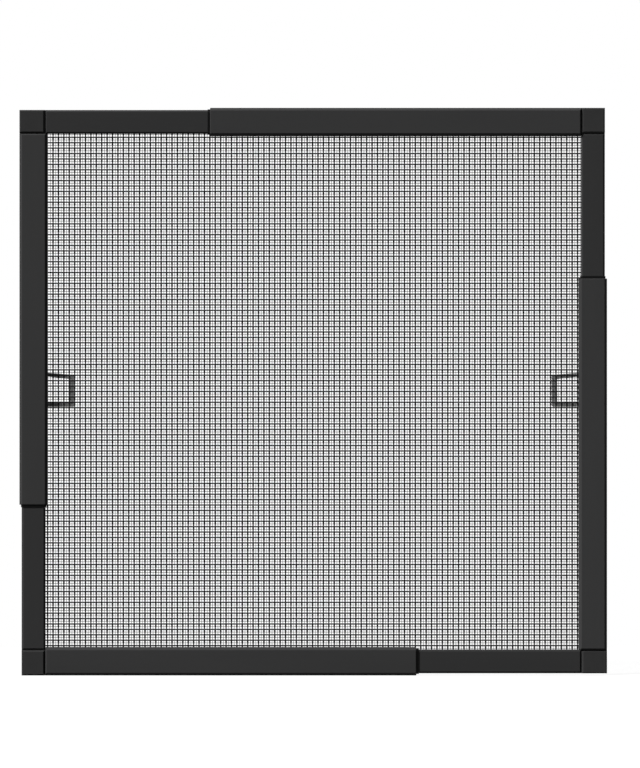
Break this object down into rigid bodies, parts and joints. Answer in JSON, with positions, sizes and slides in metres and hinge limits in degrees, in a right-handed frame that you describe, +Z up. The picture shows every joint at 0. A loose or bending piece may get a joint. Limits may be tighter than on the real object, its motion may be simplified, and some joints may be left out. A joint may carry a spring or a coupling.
{
  "type": "window screen frame",
  "caption": "Adjustable window insect screen: dark telescoping rails on corner keys, with woven mesh held by splines in grooves at the back and finger loops to pull it out.",
  "frame": {"origin": "centre of the frame, half-way through its depth", "axes": "+X to the right seen from the front, +Z up, +Y from the front to the spline side at the back"},
  "size_m": [0.53, 0.0126, 0.512],
  "materials": {
    "wide_rail_coat": "matte dark grey powder coat",
    "narrow_rail_coat": "matte dark grey powder coat, a little darker",
    "corner_plastic": "moulded, fine matte",
    "collar_plastic": "moulded, black",
    "spline_rubber": "black vinyl cord",
    "insect_mesh": "coated glass-fibre weave, open",
    "tab_plastic": "flexible dark grey moulding"
  },
  "bodies": {
    "bottom_left": {"corner_bottom_left": "corner_plastic", "outer_rail_bottom": "wide_rail_coat", "guide_collar_bottom": "collar_plastic", "outer_spline_bottom": "spline_rubber", "inner_rail_left": "narrow_rail_coat", "inner_spline_left": "spline_rubber", "screen_mesh": "insect_mesh"},
    "bottom_right": {"corner_bottom_right": "corner_plastic", "outer_rail_right": "wide_rail_coat", "guide_collar_right": "collar_plastic", "outer_spline_right": "spline_rubber", "inner_rail_bottom": "narrow_rail_coat", "inner_spline_bottom": "spline_rubber", "pull_tab_right": "tab_plastic"},
    "top_right": {"corner_top_right": "corner_plastic", "outer_rail_top": "wide_rail_coat", "guide_collar_top": "collar_plastic", "outer_spline_top": "spline_rubber", "inner_rail_right": "narrow_rail_coat", "inner_spline_right": "spline_rubber"},
    "top_left": {"corner_top_left": "corner_plastic", "outer_rail_left": "wide_rail_coat", "guide_collar_left": "collar_plastic", "outer_spline_left": "spline_rubber", "inner_rail_top": "narrow_rail_coat", "inner_spline_top": "spline_rubber", "pull_tab_left": "tab_plastic"}
  },
  "joints": [
    {"name": "width_slide", "type": "slide", "parent": "bottom_left", "child": "bottom_right", "axis": [1, 0, 0], "range_m": [-0.144, 0], "deforming": ["screen_mesh"]},
    {"name": "height_slide", "type": "slide", "parent": "bottom_left", "child": "top_left", "axis": [0, 0, 1], "range_m": [-0.126, 0], "deforming": ["screen_mesh"]},
    {"name": "top_width_slide", "type": "slide", "parent": "top_left", "child": "top_right", "axis": [1, 0, 0], "range_m": [-0.144, 0]}
  ],
  "couplings": [
    {"joint": "top_width_slide", "follows": "width_slide", "ratio": 1}
  ]
}
